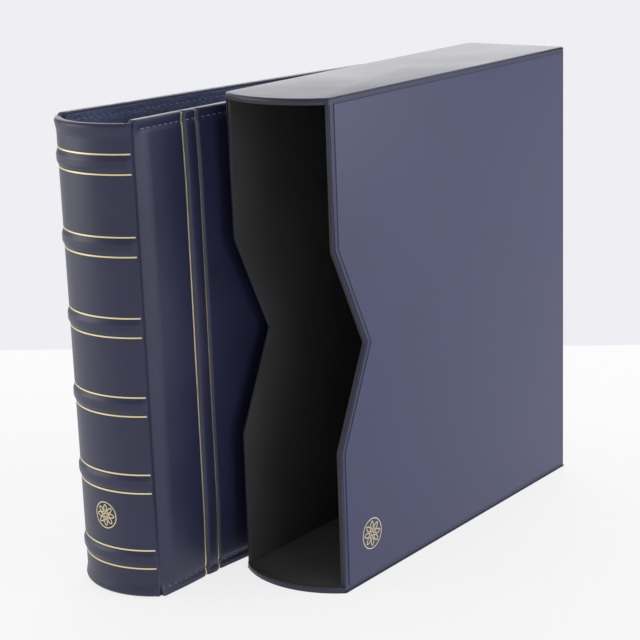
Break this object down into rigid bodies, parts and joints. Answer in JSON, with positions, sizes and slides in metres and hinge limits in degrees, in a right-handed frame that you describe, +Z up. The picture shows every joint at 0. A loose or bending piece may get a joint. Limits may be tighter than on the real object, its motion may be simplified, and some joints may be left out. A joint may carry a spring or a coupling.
{
  "type": "stamp album",
  "caption": "Ring album for stamps with padded covers, a rounded spine with raised bands, pocket leaves and a slipcase with thumb notches.",
  "frame": {"origin": "on the underside of the slipcase, in the middle of the straight part of its mouth", "axes": "+Z up; the slipcase runs back from its mouth along +Y; +X points away from the album, which stands on the -X side"},
  "size_m": [0.1727, 0.3767, 0.328],
  "materials": {
    "navy_leatherette": "smooth grained, satin",
    "navy_lining": "fine grained, matt",
    "greyboard": "matt",
    "foam_padding": "matt foam",
    "nickelled_steel": "polished nickel",
    "black_leaf_card": "matt card",
    "clear_film": "clear film",
    "case_covering": "fine grained, satin",
    "black_paper": "matt"
  },
  "bodies": {
    "front_cover": {"front_board": "greyboard", "front_padding": "foam_padding", "front_leatherette": "navy_leatherette", "front_lining": "navy_lining"},
    "spine": {"spine_board": "greyboard", "raised_bands": "greyboard", "spine_leatherette": "navy_leatherette", "spine_lining": "navy_lining", "front_joint_strip": "navy_leatherette", "back_joint_strip": "navy_leatherette", "rail_bed": "greyboard", "ring_rail": "nickelled_steel", "rail_rivets": "nickelled_steel", "lever_pins": "nickelled_steel"},
    "back_cover": {"back_board": "greyboard", "back_padding": "foam_padding", "back_leatherette": "navy_leatherette", "back_lining": "navy_lining"},
    "left_ring_set": {"left_blade": "nickelled_steel", "left_ring_halves": "nickelled_steel"},
    "right_ring_set": {"right_blade": "nickelled_steel", "right_ring_halves": "nickelled_steel"},
    "upper_lever_arm": {"upper_lever": "nickelled_steel"},
    "lower_lever_arm": {"lower_lever": "nickelled_steel"},
    "page_1": {"leaf_1": "black_leaf_card", "pockets_1": "clear_film"},
    "page_2": {"leaf_2": "black_leaf_card", "pockets_2": "clear_film"},
    "page_3": {"leaf_3": "black_leaf_card", "pockets_3": "clear_film"},
    "page_4": {"leaf_4": "black_leaf_card", "pockets_4": "clear_film"},
    "page_5": {"leaf_5": "black_leaf_card", "pockets_5": "clear_film"},
    "page_6": {"leaf_6": "black_leaf_card", "pockets_6": "clear_film"},
    "slipcase": {"case_left_board": "greyboard", "case_right_board": "greyboard", "case_top_board": "greyboard", "case_bottom_board": "greyboard", "case_back_board": "greyboard", "case_wrap": "case_covering", "case_base_sheet": "case_covering", "case_left_sheet": "case_covering", "case_right_sheet": "case_covering", "case_lining": "black_paper"}
  },
  "joints": [
    {"name": "front_hinge", "type": "hinge", "parent": "front_cover", "child": "spine", "pos_m": [-0.05758, -0.07266, 0.159], "axis": [0, 0, 1], "range_deg": [0, 92.7]},
    {"name": "back_hinge", "type": "hinge", "parent": "spine", "child": "back_cover", "pos_m": [-0.13065, -0.06575, 0.159], "axis": [0, 0, 1], "range_deg": [0, 92.7]},
    {"name": "ring_open", "type": "hinge", "parent": "spine", "child": "left_ring_set", "pos_m": [-0.10563, -0.07093, 0.159], "axis": [0, 0, 1], "range_deg": [0, 11]},
    {"name": "right_ring_turn", "type": "hinge", "parent": "spine", "child": "right_ring_set", "pos_m": [-0.08313, -0.07305, 0.159], "axis": [0, 0, 1], "range_deg": [-11, 0]},
    {"name": "upper_lever_turn", "type": "hinge", "parent": "spine", "child": "upper_lever_arm", "pos_m": [-0.09451, -0.07339, 0.288], "axis": [0.9956, -0.0941, 0], "range_deg": [0, 20]},
    {"name": "lower_lever_turn", "type": "hinge", "parent": "spine", "child": "lower_lever_arm", "pos_m": [-0.09451, -0.07339, 0.03], "axis": [0.9956, -0.0941, 0], "range_deg": [-20, 0]},
    {"name": "leaf_1_turn", "type": "hinge", "parent": "spine", "child": "page_1", "pos_m": [-0.0925, -0.05208, 0.159], "axis": [0, 0, 1], "range_deg": [0, 88]},
    {"name": "leaf_2_turn", "type": "hinge", "parent": "spine", "child": "page_2", "pos_m": [-0.0925, -0.05208, 0.159], "axis": [0, 0, 1], "range_deg": [0, 85.5]},
    {"name": "leaf_3_turn", "type": "hinge", "parent": "spine", "child": "page_3", "pos_m": [-0.0925, -0.05208, 0.159], "axis": [0, 0, 1], "range_deg": [0, 83]},
    {"name": "leaf_4_turn", "type": "hinge", "parent": "spine", "child": "page_4", "pos_m": [-0.0925, -0.05208, 0.159], "axis": [0, 0, 1], "range_deg": [-83, 0]},
    {"name": "leaf_5_turn", "type": "hinge", "parent": "spine", "child": "page_5", "pos_m": [-0.0925, -0.05208, 0.159], "axis": [0, 0, 1], "range_deg": [-85.5, 0]},
    {"name": "leaf_6_turn", "type": "hinge", "parent": "spine", "child": "page_6", "pos_m": [-0.0925, -0.05208, 0.159], "axis": [0, 0, 1], "range_deg": [-88, 0]},
    {"name": "case_slide", "type": "slide", "parent": "front_cover", "child": "slipcase", "axis": [0, 1, 0], "range_m": [0, 0.3]}
  ],
  "couplings": [
    {"joint": "right_ring_turn", "follows": "ring_open", "ratio": -1},
    {"joint": "upper_lever_turn", "follows": "ring_open", "ratio": 1.8182},
    {"joint": "lower_lever_turn", "follows": "ring_open", "ratio": -1.8182},
    {"joint": "leaf_1_turn", "follows": "back_hinge", "ratio": 0.94929},
    {"joint": "leaf_2_turn", "follows": "back_hinge", "ratio": 0.92233},
    {"joint": "leaf_3_turn", "follows": "back_hinge", "ratio": 0.89536},
    {"joint": "leaf_4_turn", "follows": "front_hinge", "ratio": -0.89536},
    {"joint": "leaf_5_turn", "follows": "front_hinge", "ratio": -0.92233},
    {"joint": "leaf_6_turn", "follows": "front_hinge", "ratio": -0.94929}
  ]
}
